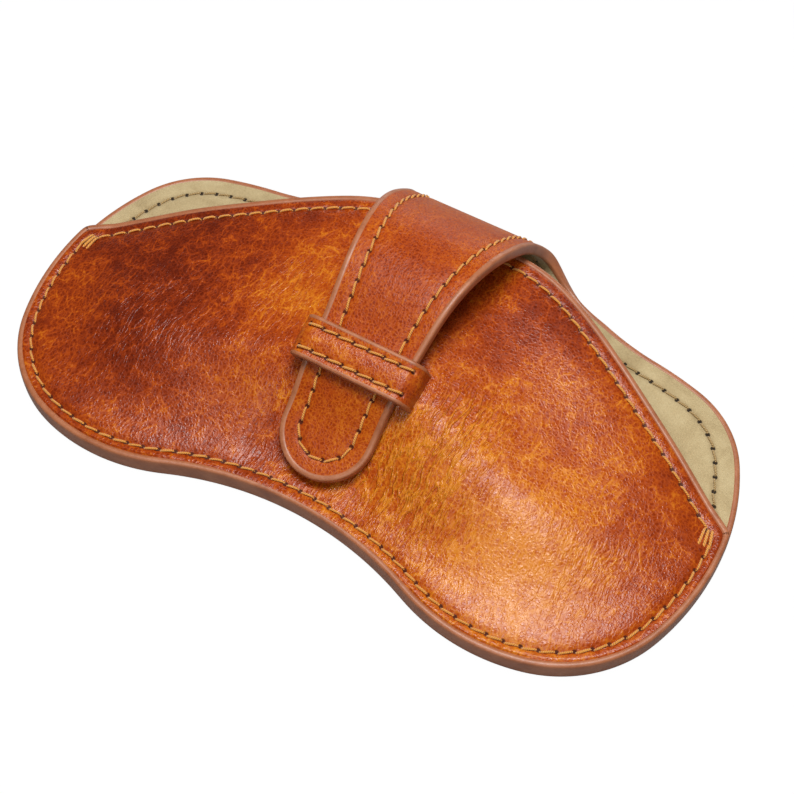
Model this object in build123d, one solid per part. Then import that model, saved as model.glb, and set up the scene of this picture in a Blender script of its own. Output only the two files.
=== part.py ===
from build123d import *
import math
import os

# Slip-in glasses case of sewn leather, lying on its back panel.
# +X runs along the case, +Y from the waist to the strap's fold, +Z out of the front.
# The origin is on the resting face, on the line of symmetry.

# Sheet stock, edge paint and thread
leather = 1.5
lining = 0.8
glue_line = 0.1
edge_paint = 0.35
paint_gap = 0.04
thread_width = 0.8
thread_height = 0.35
stitch_pitch = 3.56
stitch_length = 2.8
thread_lift = 0.1

# Case body
half_length = 81.3
body_height = 83.8
seam_margin = 5.0
seam_inset = 2.7
rim_inset = 4.8
mouth_inset = 3.9

# Crown of the front panel above the sewn seam
mouth_rise = 11.0
crown_half_length = 76.0
crown_run = 26.0
bulge_rise = 4.8
bulge_off_waist = 32.4
bulge_half_width = 20.0
bulge_half_height = 18.0

# Strap
fold_radius = 7.3
arch_height = 31.2
strap_gap = 0.4
strap_stitch_inset = 3.9
tip_off_waist = 5.1
tip_radius = 10.1

parting_off_keeper = 2.2
fold_stitch_start = 4.5

# Keeper loop
keeper_off_waist = 26.8
keeper_width = 8.6
keeper_gap = 0.5
keeper_side_gap = 0.6
keeper_bend = 1.4
keeper_leg = 16.0
keeper_row_spread = 2.6
keeper_stitches = 7
keeper_pitch = 3.6

# Bar tacks at the ends of the mouth
tack_strands = 3
tack_spacing = 0.95
tack_length = 4.4
tack_drop = 4.3
tack_inset = 2.9
tack_lean = 0.25

# Ends of the stitch rows, from the corner where the mouth meets the seam
seam_row_drop = 8.9
rim_row_rise = 3.2
mouth_row_stop = 7.6

# Reach of the cutting bodies past the sheets
side_overrun = 6.0
cut_height = 70.0

lining_depth = leather + glue_line
sheet = lining_depth + lining
seam_top = 2 * sheet + glue_line

# Half outline of the back panel: the joints of its tangent arcs from the waist round the lobe
# to the fold, as fractions of the half length and of the body height.
outline_joints = [
    (0.0, -0.4821),
    (0.36, -0.5524),
    (0.7041, -0.5763),
    (0.9569, -0.3532),
    (0.9962, -0.0251),
    (0.9349, 0.1821),
    (0.753, 0.3326),
    (0.6119, 0.3621),
    (0.4379, 0.4071),
]
fold_half_width = outline_joints[-1][0] * half_length
fold_y = outline_joints[-1][1] * body_height
waist_y = outline_joints[0][1] * body_height
bulge_y = waist_y + bulge_off_waist
tip_y = waist_y + tip_off_waist
keeper_y = waist_y + keeper_off_waist
keeper_top_y = keeper_y + keeper_width * 0.45
keeper_low_y = keeper_y - keeper_width * 0.45

# Mouth of the pocket, and lowest part of the lobes
mouth_drop = 2.0
mouth_y = fold_y - mouth_drop
corner_y = -0.015 * body_height
lobe_x = 0.603 * half_length
lobe_low = -0.594 * body_height
side_run = 0.283 * half_length
side_climb = 0.123 * body_height

# Arch of the strap over the front: stations from the fold to the keeper, as fractions of that
# run and of the rise from the fold to the top of the arch.
arch_stations = [(0.053, 0.264), (0.154, 0.515), (0.407, 0.908), (0.612, 1.0), (0.807, 0.908)]

# Half width of the flap at fractions of its length, from the start of the fold.
flap_widths = [
    (0.0, fold_half_width),
    (0.04, 27.0),
    (0.108, 19.7),
    (0.187, 16.6),
    (0.328, 15.7),
    (0.478, 13.9),
    (0.637, 11.6),
    (0.768, 10.6),
]


def at_length(line, distance):
    return line.position_at(distance, position_mode=PositionMode.LENGTH)


def along(line, distance):
    return line.tangent_at(distance, position_mode=PositionMode.LENGTH)


def run_to(line, reached):
    # Distance along a line to the first place that meets a test.
    steps = 600
    for i in range(steps):
        distance = line.length * i / steps
        if reached(at_length(line, distance)):
            return distance
    return line.length


# Crown of the front panel

def waist_line(x):
    # Lower edge of the outline: a cosine dip to the lobe, then a power curve up to the side.
    reach = abs(x) - lobe_x
    if reach < 0:
        return lobe_low + (waist_y - lobe_low) * (1 + math.cos(math.pi * x / lobe_x)) / 2
    return lobe_low + side_climb * (reach / side_run) ** 2.22


def crown(x, y):
    across = min(abs(x) / crown_half_length, 1.0)
    rise = mouth_rise * (1 - across ** 2.6) ** 1.25
    spread = (x / bulge_half_width) ** 2 + ((y - bulge_y) / bulge_half_height) ** 2
    bulge = bulge_rise * math.exp(-spread)
    climb = (y - waist_line(x) - seam_margin) / crown_run
    climb = max(0.0, min(climb, 1.0))
    return (rise + bulge) * climb * climb * (3 - 2 * climb)


def crown_slopes(x, y):
    step = 0.5
    slope_x = (crown(x + step, y) - crown(x - step, y)) / (2 * step)
    slope_y = (crown(x, y + step) - crown(x, y - step)) / (2 * step)
    return slope_x, slope_y


def front_height(x, y, depth):
    # Height of the sheet at a depth under the outer face, measured square to the sheet.
    slope_x, slope_y = crown_slopes(x, y)
    return seam_top + crown(x, y) - depth * math.sqrt(1 + slope_x ** 2 + slope_y ** 2)


def under_front(depth):
    # Everything below the front sheet at this depth.
    columns = 44
    rows = 34
    reach_x = half_length + side_overrun
    low = waist_y - 18
    high = fold_y + 4
    grid = []
    for i in range(columns + 1):
        x = -reach_x + 2 * reach_x * i / columns
        line = []
        for j in range(rows + 1):
            y = low + (high - low) * j / rows
            line.append(Vector(x, y, front_height(x, y, depth)))
        grid.append(line)
    surface = Face.make_surface_from_array_of_points(grid, tol=0.03, min_deg=3, max_deg=3)
    return extrude(surface, cut_height, dir=(0, 0, -1))


def front_sheet(above, below, plan):
    # Layer of the front between two surfaces, cut to a plan.
    return (plan & above) - (plan & below)


# Outline of the back panel and line of the mouth

def half_rim(outset=0.0):
    # Tangent arcs through the joints, moved out square to the edge.
    joints = [Vector(fx * half_length, fy * body_height) for fx, fy in outline_joints]
    heading = Vector(1, 0)
    start = joints[0] + Vector(heading.Y, -heading.X) * outset
    arcs = []
    for here, there in zip(joints, joints[1:]):
        heading_there = TangentArc(here, there, tangent=heading) % 1
        end = there + Vector(heading_there.Y, -heading_there.X) * outset
        arcs.append(TangentArc(start, end, tangent=heading))
        start = end
        heading = heading_there
    return Wire(arcs)


def body_face(outset=0.0):
    right = half_rim(outset)
    left = right.mirror(Plane.YZ)
    top = Line(right @ 1, left @ 1)
    return make_face(right.edges() + left.edges() + [top])


def mouth_line(outset=0.0):
    rise = mouth_y - corner_y
    low = corner_y - 0.04 * rise
    shape = [
        (0.0, mouth_y),
        (0.25 * half_length, mouth_y - 0.018 * rise),
        (0.53 * half_length, corner_y + 0.667 * rise),
        (0.775 * half_length, corner_y + 0.319 * rise),
        (half_length, low),
        (half_length + side_overrun, low - 1.7 * side_overrun * rise / half_length),
    ]
    right = [(x, y + outset) for x, y in shape]
    left = [(-x, y) for x, y in reversed(right[1:])]
    return Spline(*left, *right)


def mouth_region(outset=0.0):
    # Plan of all that lies on the pocket's side of the mouth.
    edge = mouth_line(outset)
    low = waist_y - 30
    start = edge @ 0
    end = edge @ 1
    border = Polyline(end, (end.X, low), (start.X, low), start)
    return make_face(Curve() + [edge, border])


# Flap: the back panel's tongue, bent up at the fold and laid over the front

fold_corner_y = fold_y + fold_radius
fold_arc = Plane.YZ * Pos(fold_y, fold_radius) * CenterArc((0, 0), fold_radius, -90, 90)
arc_length = fold_arc.length


def arch_point(run, rise):
    # Point of the strap's outer face where it arches from the fold to the keeper.
    y = fold_corner_y + run * (keeper_top_y - fold_corner_y)
    return (0, y, fold_radius + rise * (arch_height - fold_radius))


def tongue_point(y, lift):
    # Point of the strap's outer face over the front panel, raised a little where it bridges a hollow.
    slope = crown_slopes(0, y)[1]
    depth = (strap_gap + sheet) * math.sqrt(1 + slope ** 2)
    return (0, y, seam_top + crown(0, y) + depth + lift)


strap_line = Spline(
    (0, fold_corner_y, fold_radius),
    *[arch_point(run, rise) for run, rise in arch_stations],
    tongue_point(keeper_top_y, 0.35),
    tongue_point(keeper_low_y, 0.3),
    tongue_point(tip_y + 11.3, 0.4),
    tongue_point(tip_y + 5.3, 1.1),
    tongue_point(tip_y, 0.4),
    tangents=[(0, 0, 1), (0, -0.93, -0.37)],
)
flap_length = arc_length + strap_line.length


def run_at(y):
    return run_to(strap_line, lambda place: place.Y < y)


def flap_place(distance):
    # Point and direction on the outer face at a distance along the leather from the fold's start.
    if distance < 0:
        return Vector(0, fold_y + distance, 0), Vector(0, 1, 0)
    if distance < arc_length:
        return at_length(fold_arc, distance), along(fold_arc, distance)
    run = distance - arc_length
    if run > strap_line.length:
        way = along(strap_line, strap_line.length)
        return strap_line @ 1 + way * (run - strap_line.length), way
    return at_length(strap_line, run), along(strap_line, run)


def flap_edge(outset=0.0, samples=22):
    # Edge of the flap with the leather laid flat: pairs of distance across and along.
    tip_centre = flap_length - tip_radius
    side = [(width, share * flap_length) for share, width in flap_widths]
    shoulder = half_rim() % 1
    edge = Spline(*side, (tip_radius, tip_centre), tangents=[(shoulder.X, shoulder.Y), (0, 1)])
    pairs = []
    for i in range(samples + 1):
        place = at_length(edge, edge.length * i / samples)
        way = along(edge, edge.length * i / samples)
        moved = place + Vector(way.Y, -way.X) * outset
        pairs.append((moved.X, moved.Y))
    round_steps = 6
    for i in range(1, round_steps + 1):
        turn = math.pi / 2 * i / round_steps
        across = (tip_radius + outset) * math.cos(turn)
        pairs.append((across, tip_centre + (tip_radius + outset) * math.sin(turn)))
    return pairs


def flap_half_width(distance):
    nearest = min(flap_edge(0.0, 90), key=lambda pair: abs(pair[1] - distance))
    return nearest[0]


def flap_cutter(low, high, lean, outset=0.0):
    # Prism whose sides are the flap's edge, seen along a direction that shows the run unfolded.
    rise = Vector(0, math.cos(math.radians(lean)), math.sin(math.radians(lean)))
    start = flap_place(low)[0]
    plane = Plane(origin=start, x_dir=(1, 0, 0), z_dir=Vector(1, 0, 0).cross(rise))
    chosen = [pair for pair in flap_edge(outset) if low - 2 < pair[1] < high + 5]
    right = []
    for across, run in chosen:
        place = flap_place(run)[0]
        right.append((across, (place - start).dot(rise)))
    if chosen[-1][0] < 0.001:
        left = [(-x, u) for x, u in reversed(right[:-1])]
        side = Spline(*right, *left)
        outline = make_face(Curve() + [side, Line(side @ 1, side @ 0)])
    else:
        left = [(-x, u) for x, u in right]
        one = Spline(*right)
        two = Spline(*left)
        outline = make_face(Curve() + [one, two, Line(one @ 0, two @ 0), Line(one @ 1, two @ 1)])
    return extrude(plane * outline, cut_height, both=True)


def flap_band(line, near, far, overrun=0.0):
    # Full-width band of sheet between two depths under the outer face of a run of the flap.
    def sunk(depth):
        count = 20
        places = []
        for i in range(count + 1):
            distance = line.length * i / count
            way = along(line, distance)
            places.append(at_length(line, distance) + Vector(0, -way.Z, way.Y) * depth)
        if overrun:
            places.append(places[-1] + along(line, line.length) * overrun)
        return Spline(*places)

    outer = sunk(near)
    inner = sunk(far)
    profile = make_face(Curve() + [outer, inner, Line(outer @ 0, inner @ 0), Line(outer @ 1, inner @ 1)])
    return extrude(profile, half_length, both=True, dir=(1, 0, 0))


def fold_band(near, far):
    ring = Circle(fold_radius - near) - Circle(fold_radius - far)
    quarter = ring & Pos(fold_radius / 2, -fold_radius / 2) * Rectangle(fold_radius, fold_radius)
    return extrude(Plane.YZ * Pos(fold_y, fold_radius) * quarter, half_length, both=True)


# Thread

def stitch_bar(length):
    half = length / 2
    shape = Polyline(
        (-half, 0),
        (half, 0),
        (half - thread_height, thread_height),
        (-half + thread_height, thread_height),
        close=True,
    )
    return extrude(Plane.XZ * make_face(shape), thread_width / 2, both=True)


bar = stitch_bar(stitch_length)
tack_bar = stitch_bar(tack_length)


def stitch(place, way, out, strand=bar):
    seat = place + out * thread_lift
    return Plane(origin=seat, x_dir=way, z_dir=out).location * strand


def evenly(start, end):
    # Middles of the stitches between two distances along a line.
    count = int((end - start) / stitch_pitch)
    spare = (end - start - (count - 1) * stitch_pitch) / 2
    return [start + spare + stitch_pitch * i for i in range(count)]


def on_front(place, way, strand=bar):
    slope_x, slope_y = crown_slopes(place.X, place.Y)
    out = Vector(-slope_x, -slope_y, 1).normalized()
    spot = Vector(place.X, place.Y, seam_top + crown(place.X, place.Y))
    return stitch(spot, way - out * way.dot(out), out, strand)


def both_sides(places):
    # The same stitches on the right and, mirrored, on the left.
    return places + [solid.mirror(Plane.YZ) for solid in places]


def save(name, *solids):
    shape = solids[0] if len(solids) == 1 else Compound(children=list(solids))
    export_step(shape, "parts/" + name + ".step")


os.makedirs("parts", exist_ok=True)

# Pocket: back and front sheets

body = body_face()
fold_lean = 45
fold_cut = flap_cutter(0, arc_length, fold_lean)
back_leather = extrude(body, leather) + (fold_band(0, leather) & fold_cut)
back_lining = Pos(0, 0, lining_depth) * extrude(body, lining)
back_lining = back_lining + (fold_band(lining_depth, sheet) & fold_cut)
save("back_leather", back_leather)
save("back_lining", back_lining)

front_plan = extrude(body & mouth_region(), cut_height)
below_face = under_front(0)
below_leather = under_front(leather)
above_lining = under_front(lining_depth)
below_lining = under_front(sheet)
front_leather = front_sheet(below_face, below_leather, front_plan)
front_lining = front_sheet(above_lining, below_lining, front_plan)

# Painted edges of the pocket

below_fold = Pos(0, fold_y - 2 * half_length) * Rectangle(4 * half_length, 4 * half_length)
ring = (body_face(edge_paint) - body_face(paint_gap)) & below_fold
pocket_side = extrude(mouth_region(), cut_height)
seam_ring = extrude(ring, seam_top) & pocket_side
rim_ring = extrude(ring, sheet) - pocket_side
fold_ring = fold_band(0, sheet) & flap_cutter(0, arc_length, fold_lean, edge_paint)
fold_ring = fold_ring - flap_cutter(0, arc_length, fold_lean, paint_gap)
save("seam_edge_paint", seam_ring)
save("rim_edge_paint", *(rim_ring.solids() + fold_ring.solids()))

mouth_strip = extrude(mouth_region(edge_paint) - mouth_region(paint_gap), cut_height)
inner_plan = extrude(body_face(-edge_paint), cut_height)
mouth_edge = front_sheet(below_face, below_lining, mouth_strip & inner_plan)
save("mouth_edge_paint", mouth_edge)

# Strap and its tongue, parted just above the keeper

parting_run = run_at(keeper_top_y + parting_off_keeper)
parting = Plane(origin=at_length(strap_line, parting_run), z_dir=along(strap_line, parting_run))
past_parting = parting.location * Box(300, 300, 300, align=(Align.CENTER, Align.CENTER, Align.MIN))
strap_reach = (arc_length, arc_length + parting_run, 150)
tongue_reach = (arc_length + parting_run, flap_length, 205)
layers = {"leather": (0, leather), "lining": (lining_depth, sheet)}
for layer, (near, far) in layers.items():
    band = flap_band(strap_line, near, far, 3)
    save("strap_" + layer, (band & flap_cutter(*strap_reach)) - past_parting)
    save("tongue_" + layer, (band & flap_cutter(*tongue_reach)) & past_parting)
band = flap_band(strap_line, 0, sheet, 3)
strap_paint = (band & flap_cutter(*strap_reach, edge_paint)) - flap_cutter(*strap_reach, paint_gap)
tongue_paint = (band & flap_cutter(*tongue_reach, edge_paint)) - flap_cutter(*tongue_reach, paint_gap)
save("strap_edge_paint", *(strap_paint - past_parting).solids())
save("tongue_edge_paint", *(tongue_paint & past_parting).solids())

# Keeper loop: a band over the tongue with both ends let through the front leather

keeper_run = run_at(keeper_y)
keeper_plane = Plane(
    origin=at_length(strap_line, keeper_run),
    x_dir=(1, 0, 0),
    z_dir=along(strap_line, keeper_run),
)
tongue_half = flap_half_width(arc_length + keeper_run - keeper_width / 2)
keeper_inner = tongue_half + edge_paint + keeper_side_gap


def arch(grown):
    half = keeper_inner + grown
    top = keeper_gap + grown
    block = Pos(0, (top - keeper_leg) / 2) * Rectangle(2 * half, top + keeper_leg)
    return fillet(block.vertices().sort_by(Axis.Y)[-2:], keeper_bend + grown)


def keeper_piece(near, far, start, end):
    section = arch(far) - arch(near)
    piece = Pos(0, 0, start) * extrude(section, end - start)
    return (keeper_plane.location * piece) - below_leather


half_band = keeper_width / 2
keeper_backing = keeper_piece(0, lining, -half_band, half_band)
keeper_leather = keeper_piece(lining + glue_line, sheet, -half_band, half_band)
keeper_paint = [
    keeper_piece(0, sheet, half_band + paint_gap, half_band + edge_paint),
    keeper_piece(0, sheet, -half_band - edge_paint, -half_band - paint_gap),
]
save("keeper_backing", keeper_backing)
save("keeper_leather", keeper_leather)
save("keeper_edge_paint", *[solid for piece in keeper_paint for solid in piece.solids()])
for piece in [keeper_backing, keeper_leather] + keeper_paint:
    front_leather = front_leather - piece
save("front_leather", front_leather)
save("front_lining", front_lining)

# Stitching on the pocket

seam_run = half_rim(-seam_inset)
seam_end = run_to(seam_run, lambda place: place.Y > corner_y - seam_row_drop and place.X > lobe_x)
seam_right = []
for i in range(int(seam_end / stitch_pitch + 0.5)):
    distance = stitch_pitch * (i + 0.5)
    seam_right.append(on_front(at_length(seam_run, distance), along(seam_run, distance)))
save("seam_thread", *both_sides(seam_right))

rim_run = half_rim(-rim_inset)
rim_start = run_to(rim_run, lambda place: place.Y > corner_y + rim_row_rise and place.X > lobe_x)
rim_right = []
for distance in evenly(rim_start, rim_run.length - 1):
    place = at_length(rim_run, distance)
    spot = Vector(place.X, place.Y, sheet)
    rim_right.append(stitch(spot, along(rim_run, distance), Vector(0, 0, 1)))
save("right_rim_thread", *rim_right)
save("left_rim_thread", *[solid.mirror(Plane.YZ) for solid in rim_right])

mouth_run = mouth_line(-mouth_inset)
mouth_stitches = []
for distance in evenly(0, mouth_run.length):
    place = at_length(mouth_run, distance)
    if abs(place.X) < half_length - mouth_row_stop:
        mouth_stitches.append(on_front(place, along(mouth_run, distance)))
save("mouth_thread", *mouth_stitches)

tack = []
tack_way = Vector(-tack_lean, 1).normalized()
tack_step = Vector(-1, -tack_lean) * tack_spacing
for i in range(tack_strands):
    spot = Vector(half_length - tack_inset, corner_y - tack_drop) + tack_step * i
    tack.append(on_front(spot, tack_way, tack_bar))
save("right_corner_tack", *tack)
save("left_corner_tack", *[solid.mirror(Plane.YZ) for solid in tack])

# Stitching on the strap, the tongue and the keeper

flat_row = Spline(*flap_edge(-strap_stitch_inset, 90))
rows = {"fold_thread": [], "strap_thread": [], "tongue_thread": []}
for i in range(int(flat_row.length / stitch_pitch)):
    distance = flat_row.length - stitch_pitch * (i + 0.5)
    mark = at_length(flat_row, distance)
    heading = along(flat_row, distance)
    place, way = flap_place(mark.Y)
    out = Vector(0, way.Z, -way.Y)
    spot = Vector(mark.X, place.Y, place.Z)
    lead = Vector(heading.X, 0, 0) + way * heading.Y
    if mark.Y < fold_stitch_start or abs(mark.Y - arc_length) < stitch_length / 2:
        continue
    if mark.Y < arc_length:
        rows["fold_thread"].append(stitch(spot, lead, out))
    elif abs(mark.Y - arc_length - parting_run) < stitch_length / 2 - 0.3:
        continue
    elif mark.Y < arc_length + parting_run:
        rows["strap_thread"].append(stitch(spot, lead, out))
    else:
        under_keeper = abs(mark.Y - arc_length - keeper_run) < keeper_width / 2 + 1.2
        if not under_keeper:
            rows["tongue_thread"].append(stitch(spot, lead, out))
for name, places in rows.items():
    save(name, *both_sides(places))

for name, across in [("keeper_upper_thread", -1), ("keeper_lower_thread", 1)]:
    row = []
    for i in range(keeper_stitches):
        x = (i - (keeper_stitches - 1) / 2) * keeper_pitch
        place = Vector(x, keeper_gap + sheet, across * keeper_row_spread)
        seat = keeper_plane.location * Pos(place)
        out = keeper_plane.y_dir
        row.append(stitch(seat.position, Vector(1, 0, 0), out))
    save(name, *row)
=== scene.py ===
import math

import bmesh
import bpy
import numpy as np
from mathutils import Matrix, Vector, geometry


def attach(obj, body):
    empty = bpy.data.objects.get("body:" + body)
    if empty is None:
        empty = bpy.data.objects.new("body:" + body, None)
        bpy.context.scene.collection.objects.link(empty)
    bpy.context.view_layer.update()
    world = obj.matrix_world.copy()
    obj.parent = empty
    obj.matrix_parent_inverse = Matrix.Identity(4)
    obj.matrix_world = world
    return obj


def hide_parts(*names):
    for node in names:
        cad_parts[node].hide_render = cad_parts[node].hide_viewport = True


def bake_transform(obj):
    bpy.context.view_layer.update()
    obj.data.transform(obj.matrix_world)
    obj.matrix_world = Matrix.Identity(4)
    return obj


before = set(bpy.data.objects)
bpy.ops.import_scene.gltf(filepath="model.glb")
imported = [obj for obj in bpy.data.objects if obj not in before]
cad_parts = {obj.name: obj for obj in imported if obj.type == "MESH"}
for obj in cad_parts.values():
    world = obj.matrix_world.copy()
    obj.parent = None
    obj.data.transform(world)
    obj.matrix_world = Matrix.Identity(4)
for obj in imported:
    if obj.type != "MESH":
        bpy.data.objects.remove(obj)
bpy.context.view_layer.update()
bpy.ops.object.select_all(action="DESELECT")

MM = 0.001

# Sizes in millimetres, the same as the part's
half_length = 81.3
body_height = 83.8
leather = 1.5
lining = 0.8
sheet = 2.4
seam_top = 4.9
seam_inset = 2.7
rim_inset = 4.8
mouth_inset = 3.6
strap_inset = 3.9
pitch = 3.56
fold_radius = 7.3
arch_height = 31.2
strap_gap = 0.4
tip_radius = 10.1
crown_half_length = 76.0
crown_run = 26.0
mouth_rise = 11.0
bulge_rise = 4.8
bulge_half_width = 20
bulge_half_height = 18
seam_margin = 5.0
keeper_half_width = 4.3
keeper_half_cover = 3.87
keeper_bend = 1.4
keeper_side = 0.95
keeper_gap = 0.5
keeper_row = 2.6
keeper_pitch = 3.6
keeper_stitches = 7
tack_strands = 3
tack_spacing = 0.95
edge_bulge = 0.5

# Sizes of the finer shapes, in millimetres
fullness = 1.5
front_waves = [(61, 0.4, 1.0, 0.26), (43, 1.9, 0.3, 0.2), (29, 2.7, 2.2, 0.1), (21, 0.9, 4.1, 0.06)]
groove_half_width = 0.85
hole_radius = 0.42
edge_rolls = {"panel": 0.45, "pocket": 0.55, "keeper": 0.22}
keeper_fullness = 0.22
keeper_edge_drop = 0.28
stitch_length = 3.3
thread_radius = 0.28
tack_clearance = 2.7

outline_joints = [
    (0.0, -0.4821),
    (0.36, -0.5524),
    (0.7041, -0.5763),
    (0.9569, -0.3532),
    (0.9962, -0.0251),
    (0.9349, 0.1821),
    (0.753, 0.3326),
    (0.6119, 0.3621),
    (0.4379, 0.4071),
]
flap_widths = [
    (0.0, 35.6),
    (0.04, 27.0),
    (0.108, 19.7),
    (0.187, 16.6),
    (0.328, 15.7),
    (0.478, 13.9),
    (0.637, 11.6),
    (0.768, 10.6),
]
arch_stations = [(0.053, 0.264), (0.154, 0.515), (0.407, 0.908), (0.612, 1.0), (0.807, 0.908)]

fold_y = outline_joints[-1][1] * body_height
waist_y = outline_joints[0][1] * body_height
bulge_y = waist_y + 32.4
tip_y = waist_y + 5.1
keeper_y = waist_y + 26.8
keeper_top_y = keeper_y + keeper_half_cover
keeper_low_y = keeper_y - keeper_half_cover
mouth_y = fold_y - 2.0
corner_y = -0.015 * body_height
lobe_x = 0.603 * half_length
lobe_low = -0.594 * body_height


# Curves

def curve_through(points, start_way=None, end_way=None, steps=40):
    # Cubic spline through points, as many close points.
    p = np.array(points, float)
    gap = np.linalg.norm(np.diff(p, axis=0), axis=1)
    n = len(p)
    system = np.zeros((n, n))
    right = np.zeros_like(p)
    for i in range(1, n - 1):
        before, after = 1 / gap[i - 1], 1 / gap[i]
        system[i, i - 1:i + 2] = before, 2 * (before + after), after
        right[i] = 3 * ((p[i] - p[i - 1]) * before ** 2 + (p[i + 1] - p[i]) * after ** 2)
    system[0, :2] = (2, 1) if start_way is None else (1, 0)
    right[0] = 3 * (p[1] - p[0]) / gap[0] if start_way is None else start_way
    system[-1, -2:] = (1, 2) if end_way is None else (0, 1)
    right[-1] = 3 * (p[-1] - p[-2]) / gap[-1] if end_way is None else end_way
    way = np.linalg.solve(system, right)
    found = []
    for i in range(n - 1):
        t = (np.arange(steps) / steps)[:, None]
        h = gap[i]
        found.append(
            p[i] * (1 + 2 * t) * (1 - t) ** 2
            + way[i] * h * t * (1 - t) ** 2
            + p[i + 1] * t * t * (3 - 2 * t)
            - way[i + 1] * h * t * t * (1 - t)
        )
    return np.vstack(found + [p[-1:]])


def runs(line):
    # Length of a line up to each of its points.
    return np.r_[0, np.cumsum(np.linalg.norm(np.diff(line, axis=0), axis=1))]


def at(line, distances):
    # Points of a line at distances along it.
    lengths = runs(line)
    return np.stack([np.interp(distances, lengths, line[:, i]) for i in range(line.shape[1])], -1)


def ways(line, closed=False):
    # Unit direction at each point of a line.
    if closed:
        step = np.roll(line, -1, 0) - np.roll(line, 1, 0)
    else:
        step = np.gradient(line, axis=0)
    return step / np.linalg.norm(step, axis=1)[:, None]


def outward(line, closed=False):
    # Unit normals on the right of a flat line.
    way = ways(line, closed)
    return np.stack([way[:, 1], -way[:, 0]], -1)


def ring(loop):
    # A closed loop with its first point again at the end.
    return np.vstack([loop, loop[:1]])


def soften(loop, passes):
    for _ in range(passes):
        loop = (np.roll(loop, 1, 0) + 2 * loop + np.roll(loop, -1, 0)) / 4
    return loop


def ease(value, low, high):
    t = np.clip((np.asarray(value, float) - low) / (high - low), 0, 1)
    return t * t * (3 - 2 * t)


# Outlines, laid flat

def rim_line():
    # Right half of the panel's outline, from the waist to the fold.
    joints = [np.array([fx * half_length, fy * body_height]) for fx, fy in outline_joints]
    way = np.array([1.0, 0.0])
    found = []
    for here, there in zip(joints, joints[1:]):
        chord = there - here
        side = np.array([-way[1], way[0]])
        turn = 2 * math.atan2(chord @ side, chord @ way)
        radius = np.linalg.norm(chord) / (2 * math.sin(turn / 2))
        angles = turn * np.arange(60) / 60
        found.append(
            here + radius * (np.sin(angles)[:, None] * way + (1 - np.cos(angles))[:, None] * side)
        )
        way = way * math.cos(turn) + side * math.sin(turn)
    return np.vstack(found + [joints[-1][None]]), way


rim, shoulder_way = rim_line()
rim_dense = at(rim, np.linspace(0, runs(rim)[-1], 1600))

mouth_span = mouth_y - corner_y
mouth_low = corner_y - 0.04 * mouth_span
mouth_half = [
    (0.0, mouth_y),
    (0.25 * half_length, mouth_y - 0.018 * mouth_span),
    (0.53 * half_length, corner_y + 0.667 * mouth_span),
    (0.775 * half_length, corner_y + 0.319 * mouth_span),
    (half_length, mouth_low),
    (half_length + 6, mouth_low - 10.2 * mouth_span / half_length),
]
mouth = curve_through([(-x, y) for x, y in reversed(mouth_half[1:])] + mouth_half)


# Crown of the front

def crown(x, y):
    x, y = np.asarray(x, float), np.asarray(y, float)
    rise = mouth_rise * (1 - np.minimum(abs(x) / crown_half_length, 1) ** 2.6) ** 1.25
    bulge = bulge_rise * np.exp(
        -((x / bulge_half_width) ** 2 + ((y - bulge_y) / bulge_half_height) ** 2)
    )
    reach = abs(x) - lobe_x
    dip = lobe_low + (waist_y - lobe_low) * (1 + np.cos(math.pi * x / lobe_x)) / 2
    side = lobe_low + 0.123 * body_height * (np.maximum(reach, 0) / (0.283 * half_length)) ** 2.22
    low = np.where(reach < 0, dip, side)
    return (rise + bulge) * ease(y - low - seam_margin, 0, crown_run)


def crown_slopes(x, y):
    step = 0.5
    slope_x = (crown(x + step, y) - crown(x - step, y)) / (2 * step)
    slope_y = (crown(x, y + step) - crown(x, y - step)) / (2 * step)
    return slope_x, slope_y


# Line of the flap's outer face, seen from the side: the fold, the arch and the tongue

def tongue_point(y, lift):
    slope = crown_slopes(0, y)[1]
    depth = (strap_gap + sheet) * math.sqrt(1 + slope ** 2)
    return (y, seam_top + float(crown(0, y)) + depth + lift)


fold_corner_y = fold_y + fold_radius
strap_side = [(fold_corner_y, fold_radius)]
for run, rise in arch_stations:
    y = fold_corner_y + run * (keeper_top_y - fold_corner_y)
    strap_side.append((y, fold_radius + rise * (arch_height - fold_radius)))
strap_side += [
    tongue_point(keeper_top_y, 0.35),
    tongue_point(keeper_low_y, 0.3),
    tongue_point(tip_y + 11.3, 0.4),
    tongue_point(tip_y + 5.3, 1.1),
    tongue_point(tip_y, 0.4),
]
strap_curve = curve_through(strap_side, (0, 1), (-0.93, -0.37))
angles = np.linspace(0, math.pi / 2, 40)[:-1]
fold_curve = np.stack(
    [fold_y + fold_radius * np.sin(angles), fold_radius * (1 - np.cos(angles))], -1
)
flap_curve = np.vstack([fold_curve, strap_curve])
flap_runs = runs(flap_curve)
flap_ways = ways(flap_curve)
flap_length = flap_runs[-1]


def back_place(flat, depth):
    # Point at a depth under the outer face of the back panel and its flap.
    x, run = flat[:, 0], flat[:, 1] - fold_y
    y = np.interp(run, flap_runs, flap_curve[:, 0]) + np.minimum(run, 0)
    z = np.interp(run, flap_runs, flap_curve[:, 1])
    way_y = np.interp(run, flap_runs, flap_ways[:, 0])
    way_z = np.interp(run, flap_runs, flap_ways[:, 1])
    on_panel = run < 0
    way_y[on_panel], way_z[on_panel] = 1, 0
    over = np.maximum(run - flap_length, 0)
    return np.stack([x, y + way_y * over - way_z * depth, z + way_z * over + way_y * depth], -1)


def front_place(flat, depth):
    x, y = flat[:, 0], flat[:, 1]
    slope_x, slope_y = crown_slopes(x, y)
    z = seam_top + crown(x, y) + relief(x, y)
    return np.stack([x, y, z - depth * np.sqrt(1 + slope_x ** 2 + slope_y ** 2)], -1)


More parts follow.
